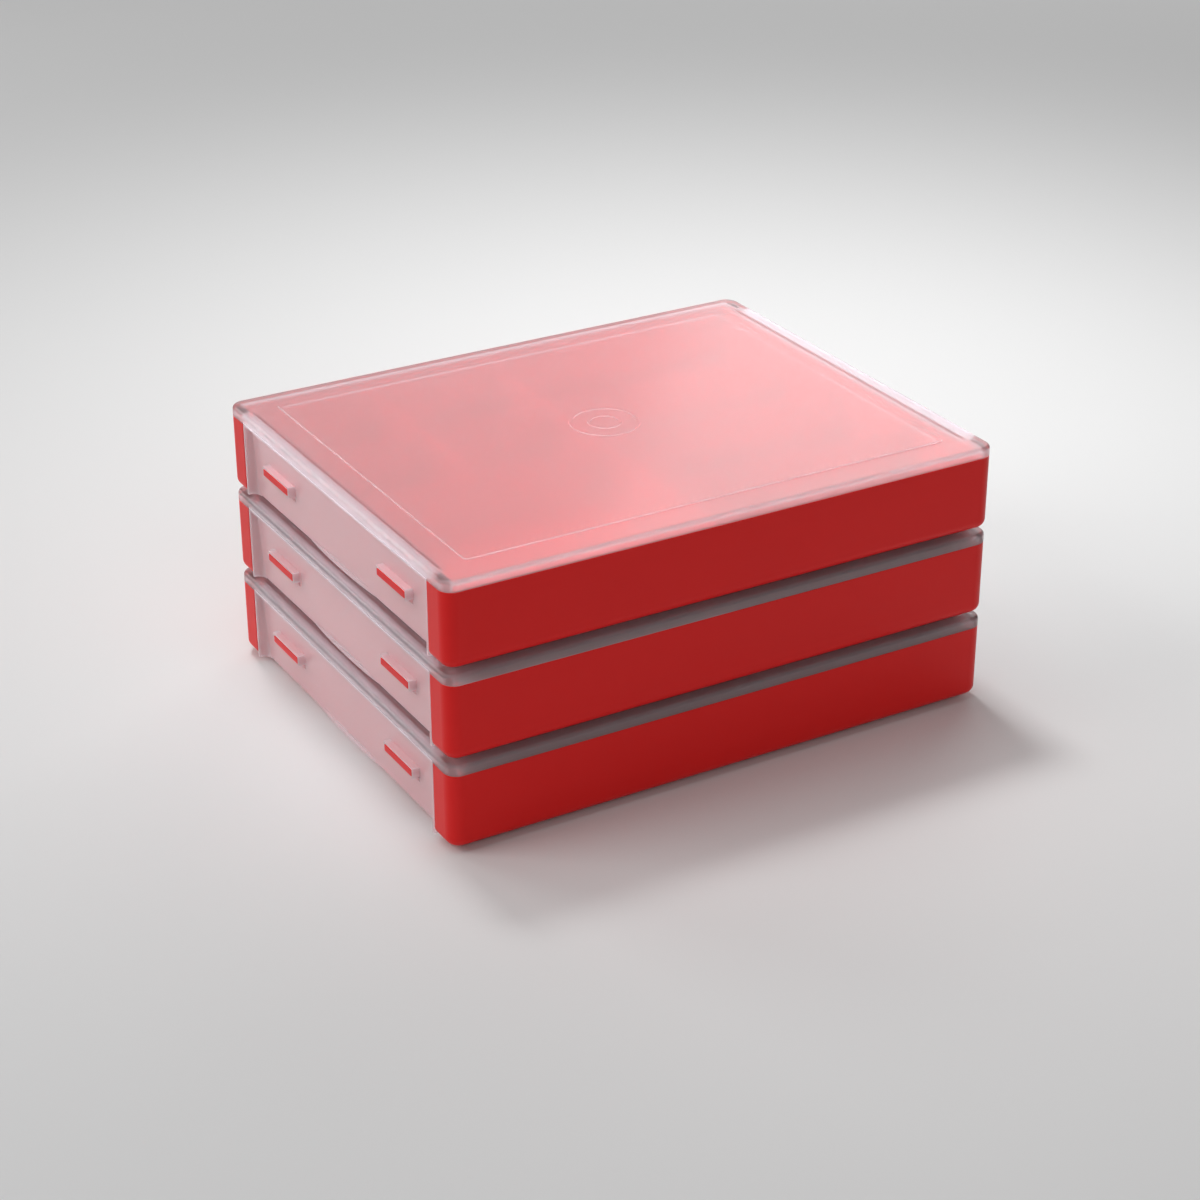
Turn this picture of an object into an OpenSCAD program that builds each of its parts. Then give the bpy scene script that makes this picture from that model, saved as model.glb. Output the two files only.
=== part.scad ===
/* [Stack] */
// Length of a tray, along X
tray_length = 195; // [170:1:240]
// Depth of a tray, along Y
tray_depth = 155; // [130:1:200]
// Height of a tray's body, from the underside of its floor to its rim
body_height = 25; // [24:0.5:28]
// Height of the ring that a tray stands on
foot_height = 1.7; // [1.2:0.1:2.5]

/* [Tray] */
// Thickness of the long walls
wall = 1.8; // [1.4:0.1:2.2]
// Thickness of the floor
floor_thickness = 1.5; // [1.2:0.1:2]
// Radius of the upright corners
corner_radius = 4.5; // [4:0.5:6]
// Radius of the lower edge
lower_edge_radius = 3; // [2:0.5:4]
// Thickness of the walls between compartments
partition_wall = 1.2; // [0.8:0.1:1.6]
// How far the walls between compartments stop below the rim
partition_drop = 5; // [1:0.5:10]

/* [Lid] */
// Height of the lid's edge band
lid_height = 3.5; // [3.2:0.1:4]
// Thickness of the lid's plate
plate_thickness = 2; // [1.6:0.1:2.2]
// Height of the raised panel on the lid
panel_height = 0.5; // [0.3:0.1:0.8]
// Width of the flat margin around the raised panel, at the long sides
panel_margin = 10.9; // [10:0.5:14]

/* [End flaps] */
// Width of the recess that a flap lies in
recess_width = 132.6; // [110:1:134]
// Gap between each end of a flap and the recess
flap_end_gap = 0.5; // [0.4:0.1:1]
// Distance between the middles of the two lugs of one end
lug_pitch = 83.5; // [70:0.5:90]
// Width of a lug
lug_width = 18.3; // [12:0.1:20]
// Thickness of a lug
lug_thickness = 2.1; // [1.6:0.1:2.4]
// Width of the pull lip in the middle of a flap's lower edge
lip_width = 46; // [30:1:50]

/* [Hidden] */
boxes = 3;
PIECES = ["tray", "partition", "lid", "hinge_left", "hinge_right", "flap_left", "flap_right"];
$fn = 48;
eps = 0.01;
overcut = 1;

// Levels above the surface that a box stands on
rim_z = foot_height + body_height;
lid_z = rim_z + lid_height;
floor_z = foot_height + floor_thickness;
plate_z = lid_z - plate_thickness;
pitch = lid_z;

half_length = tray_length / 2;
half_depth = tray_depth / 2;
half_recess = recess_width / 2;

// End wall behind a flap: it leans in towards the floor
end_wall = 1.3;
end_wall_rim_x = half_length - 3.95;
end_wall_lean = 0.8;
inner_x = end_wall_rim_x - end_wall;
inner_y = half_depth - wall;
end_wall_floor_x = end_wall_rim_x - end_wall_lean;

// Corner posts beside a flap
post_wall = 1.5;
pocket_rise = 1;
pocket_floor_z = floor_z + pocket_rise;

// Foot ring, which drops around the raised panel of the lid below
panel_end_margin = 12.3;
panel_x = half_length - panel_end_margin;
panel_y = half_depth - panel_margin;
panel_radius = 1.5;
foot_clearance = 0.7;
foot_width = 2;
foot_radius = 3.5;

// Lid: a plate with a skirt round it, cut short above each flap to leave room for its hinge
lid_edge_radius = 1.2;
lid_skirt = 1.5;
lid_pocket_radius = corner_radius - lid_skirt;
skirt_end_height = 2.95;
skirt_end_z = lid_z - skirt_end_height;
emboss_inset = 1;
stud_gap = 0.3;
stud_depth = 6;
ring_height = 0.3;
ring_width = 1;
ring_radii = [5.5, 11.5];

// Living hinge between the lid's skirt and a flap, flush with the outside
film_x = half_length - 0.05;
film_width = 0.4;
film_height = 0.3;
film_low_z = skirt_end_z - film_height;

// Flap section, from the hinge ledge down
half_flap = half_recess - flap_end_gap;
flap_clearance = 0.3;
flap_back_x = end_wall_rim_x + flap_clearance;
ledge_height = 0.55;
ledge_low_z = film_low_z - ledge_height;
face_top_x = half_length - 2.1;
face_low_x = half_length - 3.2;
flap_low_z = foot_height + 0.3;
flap_low_lead = 0.4;
flange_width = 1;
lip_reach = 0.9;
lip_height = 1.4;
lip_root = 0.2;

// Lugs and the hooded slots over them
lug_drop = 13.8;
lug_top_z = lid_z - lug_drop;
lug_low_z = lug_top_z - lug_thickness;
slot_gap = 0.3;
slot_room = 2.7;
slot_low_z = lug_low_z - slot_room;
slot_depth = 5;
hood_wall = 0.5;
hood_depth = 2.6;
hood_inset = 0.1;
hood_x = half_length - hood_inset;
hood_room = 0.6;
hood_low_z = lug_low_z - hood_room;

// Rectangle centred on the origin with rounded corners
module rounded_plan(half_x, half_y, r) {
    union() {
        square([2 * half_x, 2 * (half_y - r)], center = true);
        square([2 * (half_x - r), 2 * half_y], center = true);
        for (sx = [-1, 1], sy = [-1, 1])
            translate([sx * (half_x - r), sy * (half_y - r)])
                circle(r);
    }
}

// Half section of a slab, from its axis out, with its lower outer edge rounded
module slab_edge(half_width, height, r) {
    union() {
        translate([0, r])
            square([half_width, height - r]);
        square([half_width - r, height]);
        translate([half_width - r, r])
            intersection() {
                circle(r);
                translate([0, -r])
                    square(r);
            }
    }
}

// Section of a slab with both of its lower edges rounded
module slab_section(half_width, height, r) {
    for (s = [0, 1])
        mirror([s, 0])
            slab_edge(half_width, height, r);
}

// Section, standing in the XZ plane, drawn out along Y
module along_y(length) {
    rotate([90, 0, 0])
        linear_extrude(length, center = true)
            children();
}

// Section, standing in the YZ plane, drawn out along X
module along_x(length) {
    rotate([90, 0, 90])
        linear_extrude(length, center = true)
            children();
}

// Both ends: the second is the first turned half way round
module both_ends() {
    for (a = [0, 180])
        rotate([0, 0, a])
            children();
}

// Slab with rounded upright edges, whose lower edge is rounded all the way round
module rounded_slab(height, r) {
    union() {
        along_y(2 * (half_depth - corner_radius))
            slab_section(half_length, height, r);
        along_x(2 * (half_length - corner_radius))
            slab_section(half_depth, height, r);
        for (sx = [-1, 1], sy = [-1, 1])
            translate([sx * (half_length - corner_radius), sy * (half_depth - corner_radius)])
                rotate_extrude()
                    slab_edge(corner_radius, height, r);
    }
}

// Solid outer form of a tray
module tray_form() {
    translate([0, 0, foot_height])
        rounded_slab(body_height, lower_edge_radius);
}

// Recess for a flap: everything outside the leaning end wall
module flap_recess() {
    along_y(recess_width)
        polygon([
            [end_wall_floor_x, foot_height - overcut],
            [half_length + overcut, foot_height - overcut],
            [half_length + overcut, rim_z + overcut],
            [end_wall_rim_x, rim_z + overcut]
        ]);
}

// Hollow of the tray, up to a given level, between its long walls and its leaning end walls
module tray_hollow(top) {
    floor_x = inner_x - end_wall_lean;
    top_x = floor_x + end_wall_lean * (top - floor_z) / (rim_z - floor_z);
    along_y(2 * inner_y)
        polygon([[-floor_x, floor_z], [floor_x, floor_z], [top_x, top], [-top_x, top]]);
}

// Open pocket inside the corner post at +X, +Y
module post_pocket() {
    low_x = end_wall_rim_x;
    low_y = half_recess + post_wall;
    translate([low_x, low_y, pocket_floor_z])
        cube([half_length - post_wall - low_x, inner_y - low_y, body_height]);
}

module lug() {
    root_x = end_wall_floor_x;
    for (s = [-1, 1])
        translate([root_x, s * lug_pitch / 2 - lug_width / 2, lug_low_z])
            cube([half_length - root_x, lug_width, lug_thickness]);
}

module foot_ring() {
    inside_x = panel_x + foot_clearance;
    inside_y = panel_y + foot_clearance;
    linear_extrude(foot_height + eps)
        difference() {
            rounded_plan(inside_x + foot_width, inside_y + foot_width, foot_radius);
            rounded_plan(inside_x, inside_y, panel_radius);
        }
}

module tray() {
    color("firebrick") {
        difference() {
            tray_form();
            both_ends()
                flap_recess();
            tray_hollow(rim_z + overcut);
            both_ends()
                for (s = [0, 1])
                    mirror([0, s, 0])
                        post_pocket();
        }
        both_ends()
            lug();
        foot_ring();
    }
}

// One wall between compartments, standing on the floor of the tray
module partition_plate(x0, x1, y0, y1) {
    half = partition_wall / 2;
    translate([x0 - half, y0 - half, floor_z])
        cube([x1 - x0 + partition_wall, y1 - y0 + partition_wall, rim_z - partition_drop - floor_z]);
}

// Walls between compartments: four small at one back corner, one large, four long
module partition() {
    row = inner_y / 2;
    column = inner_x / 2;
    color("indianred")
        intersection() {
            union() {
                partition_plate(-inner_x, inner_x, 0, 0);
                partition_plate(-inner_x, inner_x, row, row);
                partition_plate(0, inner_x, -row, -row);
                partition_plate(0, 0, -inner_y, inner_y);
                partition_plate(-column, -column, 0, inner_y);
            }
            tray_hollow(rim_z);
        }
}

// Solid outer form of the lid, rounded along its upper edge
module lid_form() {
    translate([0, 0, lid_z])
        mirror([0, 0, 1])
            rounded_slab(lid_height, lid_edge_radius);
}

// Stud under each corner of the lid, which drops into the post below with a gap all round
module corner_studs() {
    low_x = end_wall_rim_x + stud_gap;
    low_y = half_recess + post_wall + stud_gap;
    for (sx = [0, 1], sy = [0, 1])
        mirror([sx, 0, 0])
            mirror([0, sy, 0])
                translate([low_x, low_y, rim_z - stud_depth])
                    cube([
                        half_length - post_wall - stud_gap - low_x,
                        inner_y - stud_gap - low_y,
                        stud_depth + plate_z - rim_z + eps
                    ]);
}

// Hollow under the lid's plate, deeper behind the raised panel
module lid_pocket() {
    translate([0, 0, rim_z - overcut])
        linear_extrude(plate_z - rim_z + overcut)
            rounded_plan(half_length - lid_skirt, inner_y, lid_pocket_radius);
    translate([0, 0, plate_z - eps])
        linear_extrude(panel_height + eps)
            rounded_plan(panel_x - emboss_inset, panel_y - emboss_inset, panel_radius);
}

// Rib under the lid that rests along the rim of the end wall at +X
module end_rib() {
    translate([inner_x, -half_recess, rim_z])
        cube([end_wall, recess_width, plate_z - rim_z + eps]);
}

module lid() {
    color("mistyrose") {
        difference() {
            union() {
                lid_form();
                translate([0, 0, lid_z - eps])
                    linear_extrude(panel_height + eps)
                        rounded_plan(panel_x, panel_y, panel_radius);
                for (r = ring_radii)
                    translate([0, 0, lid_z + panel_height - eps])
                        linear_extrude(ring_height + eps)
                            difference() {
                                circle(r);
                                circle(r - ring_width);
                            }
            }
            lid_pocket();
            both_ends()
                translate([half_length - 2 * lid_skirt, -half_recess, rim_z - overcut])
                    cube([3 * lid_skirt, recess_width, skirt_end_z - rim_z + overcut]);
        }
        corner_studs();
        both_ends()
            end_rib();
    }
}

// Thin film that joins the lid's skirt to a flap, at the +X end
module hinge_film() {
    color("mistyrose")
        translate([film_x - film_width, -half_flap, film_low_z])
            cube([film_width, 2 * half_flap, skirt_end_z - film_low_z]);
}

// Section of a flap at the +X end, without its hoods: a ledge under the film, and a leaning wall
module flap_section() {
    polygon([
        [flap_back_x, film_low_z],
        [film_x, film_low_z],
        [film_x, ledge_low_z],
        [face_top_x, ledge_low_z],
        [face_low_x, flap_low_z + flap_low_lead],
        [face_low_x - flap_low_lead, flap_low_z],
        [end_wall_floor_x + flap_clearance, flap_low_z],
        [flap_back_x, rim_z]
    ]);
}

// Flange down each end of a flap, flush with the corner posts, with a cove up to the face
module flap_flange() {
    cove = film_x - face_low_x;
    root_y = half_flap - flange_width;
    for (s = [0, 1])
        mirror([0, s, 0])
            translate([0, 0, flap_low_z])
                linear_extrude(ledge_low_z - flap_low_z + eps)
                    difference() {
                        translate([flap_back_x, root_y - cove])
                            square([film_x - flap_back_x, cove + flange_width]);
                        translate([film_x, root_y - cove])
                            circle(cove);
                    }
}

// Pull lip: a shallow arc along the lower edge
module pull_lip() {
    r = (pow(lip_width / 2, 2) + pow(lip_reach, 2)) / (2 * lip_reach);
    translate([face_low_x - lip_root, 0, flap_low_z])
        linear_extrude(lip_height)
            intersection() {
                translate([lip_reach - r, 0])
                    circle(r, $fn = 360);
                translate([0, -lip_width / 2])
                    square([lip_reach, lip_width]);
            }
}

// Collar over one lug, open below: its outer form, or the slot inside it
module hood(inner) {
    grow = inner ? 0 : hood_wall;
    width = lug_width + 2 * (slot_gap + grow);
    low = inner ? slot_low_z : hood_low_z;
    top = lug_top_z + slot_gap + grow;
    depth = inner ? slot_depth : hood_depth;
    reach = inner ? overcut : 0;
    translate([hood_x - depth, -width / 2, low])
        cube([depth + reach, width, top - low]);
}

// A flap at the +X end
module flap() {
    color("mistyrose")
        difference() {
            union() {
                along_y(2 * half_flap)
                    flap_section();
                flap_flange();
                pull_lip();
                for (s = [-1, 1])
                    translate([0, s * lug_pitch / 2, 0])
                        hood(false);
            }
            for (s = [-1, 1])
                translate([0, s * lug_pitch / 2, 0])
                    hood(true);
        }
}

// Places a sub-part in box k, counted from the bottom
module in_box(k) {
    translate([0, 0, (k - 1) * pitch])
        children();
}

module left_end() {
    rotate([0, 0, 180])
        children();
}

for (k = [1 : boxes]) {
    in_box(k) tray();
    in_box(k) partition();
    in_box(k) lid();
    in_box(k) left_end() hinge_film();
    in_box(k) hinge_film();
    in_box(k) left_end() flap();
    in_box(k) flap();
}
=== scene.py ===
import math

import bpy
from mathutils import Matrix, Vector


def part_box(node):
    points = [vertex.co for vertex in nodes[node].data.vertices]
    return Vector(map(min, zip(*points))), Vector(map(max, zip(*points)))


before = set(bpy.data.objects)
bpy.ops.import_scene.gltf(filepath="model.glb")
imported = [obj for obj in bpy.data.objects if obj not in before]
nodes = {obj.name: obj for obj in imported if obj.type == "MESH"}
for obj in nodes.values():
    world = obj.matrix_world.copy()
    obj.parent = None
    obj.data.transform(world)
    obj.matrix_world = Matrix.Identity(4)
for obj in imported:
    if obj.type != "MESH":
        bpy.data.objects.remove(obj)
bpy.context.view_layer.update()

MM = 0.001
BOXES = (1, 2, 3)
WHITE = (1, 1, 1, 1)
PALE_GREY = (0.76, 0.76, 0.76, 1)

# Points closer than WELD_GAP are merged and faces that meet at less than FLAT_ANGLE
# are joined. Then the edges sharper than SHARP_ANGLE are rounded.
WELD_GAP = 1e-6
FLAT_ANGLE = math.radians(0.5)
SHARP_ANGLE = math.radians(35)

# How far the edges of each kind of piece are rounded
TRAY_EDGE = 0.25 * MM
WALL_EDGE = 0.2 * MM
LID_EDGE = 0.2 * MM
HINGE_EDGE = 0.05 * MM
FLAP_EDGE = 0.12 * MM


# ---------------------------------------------------------------- materials

def new_material(name):
    """An empty node material, with its tree, principled shader and output."""
    material = bpy.data.materials.new(name)
    material.use_nodes = True
    tree = material.node_tree
    tree.nodes.clear()
    shader = tree.nodes.new("ShaderNodeBsdfPrincipled")
    output = tree.nodes.new("ShaderNodeOutputMaterial")
    tree.links.new(shader.outputs["BSDF"], output.inputs["Surface"])
    return material, tree, shader, output


def noise(tree, scale, detail, stretch=(1, 1, 1)):
    """Noise over the object's own coordinates, in metres."""
    coordinates = tree.nodes.new("ShaderNodeTexCoord")
    mapping = tree.nodes.new("ShaderNodeMapping")
    mapping.inputs["Scale"].default_value = stretch
    texture = tree.nodes.new("ShaderNodeTexNoise")
    texture.inputs["Scale"].default_value = scale
    texture.inputs["Detail"].default_value = detail
    tree.links.new(coordinates.outputs["Object"], mapping.inputs["Vector"])
    tree.links.new(mapping.outputs["Vector"], texture.inputs["Vector"])
    return texture.outputs["Fac"]


def ramp(tree, factor, low, high):
    """Maps the middle of the noise, 0.1 to 0.9, to a value between low and high."""
    node = tree.nodes.new("ShaderNodeMapRange")
    node.inputs["From Min"].default_value = 0.1
    node.inputs["From Max"].default_value = 0.9
    node.inputs["To Min"].default_value = low
    node.inputs["To Max"].default_value = high
    tree.links.new(factor, node.inputs["Value"])
    return node.outputs["Result"]


def mix_colour(tree, factor, first, second):
    """A colour between first and second, set by the factor."""
    node = tree.nodes.new("ShaderNodeMix")
    node.data_type = "RGBA"
    tree.links.new(factor, node.inputs["Factor"])
    node.inputs["A"].default_value = (*first, 1)
    node.inputs["B"].default_value = (*second, 1)
    return node.outputs["Result"]


def bump(tree, height, strength, distance):
    """A surface relief; distance is its height in metres."""
    node = tree.nodes.new("ShaderNodeBump")
    node.inputs["Strength"].default_value = strength
    node.inputs["Distance"].default_value = distance
    tree.links.new(height, node.inputs["Height"])
    return node.outputs["Normal"]


def red_plastic():
    """Moulded red plastic: satin, with a fine spark-eroded grain and slight flow marks."""
    material, tree, shader, _ = new_material("red_plastic")
    flow = noise(tree, scale=14, detail=3, stretch=(1, 1, 3))
    grain = noise(tree, scale=2600, detail=2)
    deep_red = (0.76, 0.007, 0.006)
    light_red = (0.80, 0.009, 0.008)
    colour = mix_colour(tree, ramp(tree, flow, low=0, high=1), deep_red, light_red)
    tree.links.new(colour, shader.inputs["Base Color"])
    tree.links.new(ramp(tree, flow, low=0.36, high=0.44), shader.inputs["Roughness"])
    tree.links.new(bump(tree, grain, strength=0.1, distance=0.00004), shader.inputs["Normal"])
    shader.inputs["IOR"].default_value = 1.45
    shader.inputs["Specular IOR Level"].default_value = 0.3
    return material


def clear_plastic(name, clearness, glow_share):
    """Natural polypropylene: a rough, faintly milky glass that lamps shine through.

    clearness is how much of the shader is glass and not a plain surface. glow_share
    is how much of all that is replaced by light scattered on its way through. The
    shadow it casts is pale.
    """
    material, tree, shader, output = new_material(name)
    flow = noise(tree, scale=22, detail=3)
    grain = noise(tree, scale=1800, detail=2)
    dull_tint = (0.94, 0.90, 0.93)
    bright_tint = (0.97, 0.93, 0.96)
    shade_tint = (0.74, 0.72, 0.73, 1)
    colour = mix_colour(tree, ramp(tree, flow, low=0, high=1), dull_tint, bright_tint)
    tree.links.new(colour, shader.inputs["Base Color"])
    tree.links.new(ramp(tree, flow, low=0.15, high=0.18), shader.inputs["Roughness"])
    tree.links.new(bump(tree, grain, strength=0.02, distance=0.00001), shader.inputs["Normal"])
    shader.inputs["IOR"].default_value = 1.42
    shader.inputs["Transmission Weight"].default_value = clearness
    glow = tree.nodes.new("ShaderNodeBsdfTranslucent")
    tree.links.new(colour, glow.inputs["Color"])
    milky = tree.nodes.new("ShaderNodeMixShader")
    milky.inputs["Fac"].default_value = glow_share
    tree.links.new(shader.outputs["BSDF"], milky.inputs[1])
    tree.links.new(glow.outputs["BSDF"], milky.inputs[2])
    path = tree.nodes.new("ShaderNodeLightPath")
    passed = tree.nodes.new("ShaderNodeBsdfTransparent")
    passed.inputs["Color"].default_value = shade_tint
    mix = tree.nodes.new("ShaderNodeMixShader")
    tree.links.new(path.outputs["Is Shadow Ray"], mix.inputs["Fac"])
    tree.links.new(milky.outputs["Shader"], mix.inputs[1])
    tree.links.new(passed.outputs["BSDF"], mix.inputs[2])
    tree.links.new(mix.outputs["Shader"], output.inputs["Surface"])
    return material


def soften(obj, width):
    """Rounds the sharp edges of a CAD node in the render: flat faces are joined, then bevelled."""
    weld = obj.modifiers.new("weld", "WELD")
    weld.merge_threshold = WELD_GAP
    flat = obj.modifiers.new("flat", "DECIMATE")
    flat.decimate_type = "DISSOLVE"
    flat.angle_limit = FLAT_ANGLE
    edge = obj.modifiers.new("edge", "BEVEL")
    edge.width = width
    edge.segments = 2
    edge.limit_method = "ANGLE"
    edge.angle_limit = SHARP_ANGLE
    shade = obj.modifiers.new("shade", "WEIGHTED_NORMAL")
    shade.keep_sharp = True


def dress(name, material, width):
    """Gives one CAD node its material and rounds its edges by width."""
    obj = nodes[name]
    obj.data.materials.clear()
    obj.data.materials.append(material)
    soften(obj, width)


red = red_plastic()
frosted_lid = clear_plastic("frosted_lid", clearness=0.86, glow_share=0.20)
whitened_hinge = clear_plastic("whitened_hinge", clearness=0.30, glow_share=0.30)
frosted_flap = clear_plastic("frosted_flap", clearness=0.62, glow_share=0.22)

for k in BOXES:
    dress(f"tray_{k}", red, TRAY_EDGE)
    dress(f"partition_{k}", red, WALL_EDGE)
    dress(f"lid_{k}", frosted_lid, LID_EDGE)
    for side in ("left", "right"):
        dress(f"hinge_{side}_{k}", whitened_hinge, HINGE_EDGE)
        dress(f"flap_{side}_{k}", frosted_flap, FLAP_EDGE)


# ---------------------------------------------------------------- stage

def mesh_object(name, points, faces):
    """A scene object made from plain points and faces."""
    mesh = bpy.data.meshes.new(name)
    mesh.from_pydata(points, [], faces)
    obj = bpy.data.objects.new(name, mesh)
    bpy.context.scene.collection.objects.link(obj)
    return obj


floor_half = 6.0
floor = mesh_object(
    "floor",
    [(x, y, 0) for x, y in ((-1, -1), (1, -1), (1, 1), (-1, 1))],
    [(0, 1, 2, 3)],
)
floor.scale = (floor_half, floor_half, 1)
floor_material, _, floor_shader, _ = new_material("pale_floor")
floor_shader.inputs["Base Color"].default_value = PALE_GREY
floor_shader.inputs["Roughness"].default_value = 0.8
floor.data.materials.append(floor_material)

world = bpy.data.worlds.new("studio")
world.use_nodes = True
world.node_tree.nodes["Background"].inputs["Color"].default_value = WHITE
world.node_tree.nodes["Background"].inputs["Strength"].default_value = 0.12
bpy.context.scene.world = world


def place_light(light, location, target):
    """Puts a light into the scene, turned towards its target."""
    obj = bpy.data.objects.new(light.name, light)
    obj.location = location
    obj.rotation_euler = (Vector(target) - Vector(location)).to_track_quat("-Z", "Y").to_euler()
    bpy.context.scene.collection.objects.link(obj)


def spot_light(name, location, target, angle, radius, power):
    """A round pool of light that fades out all the way to its rim."""
    light = bpy.data.lights.new(name, "SPOT")
    light.spot_size = math.radians(angle)
    light.spot_blend = 1
    light.shadow_soft_size = radius
    light.energy = power
    place_light(light, location, target)


def area_light(name, location, target, size, power):
    """A square softbox of the given side."""
    light = bpy.data.lights.new(name, "AREA")
    light.shape = "SQUARE"
    light.size = size
    light.energy = power
    place_light(light, location, target)


spot_light("key", (0.1, 0.9, 1.8), (0.20, 0.13, 0), angle=27, radius=0.25, power=108)
area_light("back", (1.32, 1.20, 0.82), (0.3, 0.7, 0), size=1.1, power=5)
area_light("back_wide", (0.95, 1.35, 0.85), (0.2, 0.9, 0), size=1.4, power=2.6)
area_light("rim", (-0.63, 1.18, 0.75), (0, 0, 0.05), size=0.5, power=3.2)
area_light("top", (-0.15, 0.0, 1.0), (-0.05, 0, 0.05), size=0.6, power=1.9)
area_light("side", (-1.1, 0.35, 0.85), (0, 0, 0.03), size=0.7, power=6.0)
area_light("fill", (-0.4, -1.5, 1.0), (0, 0, 0.05), size=1.0, power=5.3)

# ---------------------------------------------------------------- camera

# The camera that fits the photo's straight edges. The aim point lies to the left
# of and below the middle of the top lid's plate, as seen from the camera.
azimuth = math.radians(-30.02)
elevation = math.radians(26.84)
roll = math.radians(0.12)
distance = 0.8544
aim_left = 0.0016
aim_down = 0.0567
# The raised panel and the ring on it stand this far above the lid's plate
raised_on_lid = 0.8 * MM

right = Vector((math.cos(azimuth), math.sin(azimuth), 0))
back = Vector((
    math.sin(azimuth) * math.cos(elevation),
    -math.cos(azimuth) * math.cos(elevation),
    math.sin(elevation),
))
up = back.cross(right)
top_centre = Vector((0, 0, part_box("lid_3")[1].z - raised_on_lid))
aim = top_centre - right * aim_left - up * aim_down
camera_data = bpy.data.cameras.new("camera")
camera_data.sensor_width = 36
camera_data.lens = 79.83
camera = bpy.data.objects.new("camera", camera_data)
turn = Matrix((right, up, back)).transposed().to_4x4()
place = Matrix.Translation(aim + back * distance)
camera.matrix_world = place @ turn @ Matrix.Rotation(-roll, 4, "Z")
bpy.context.scene.collection.objects.link(camera)
bpy.context.scene.camera = camera
bpy.context.scene.view_settings.view_transform = "Standard"
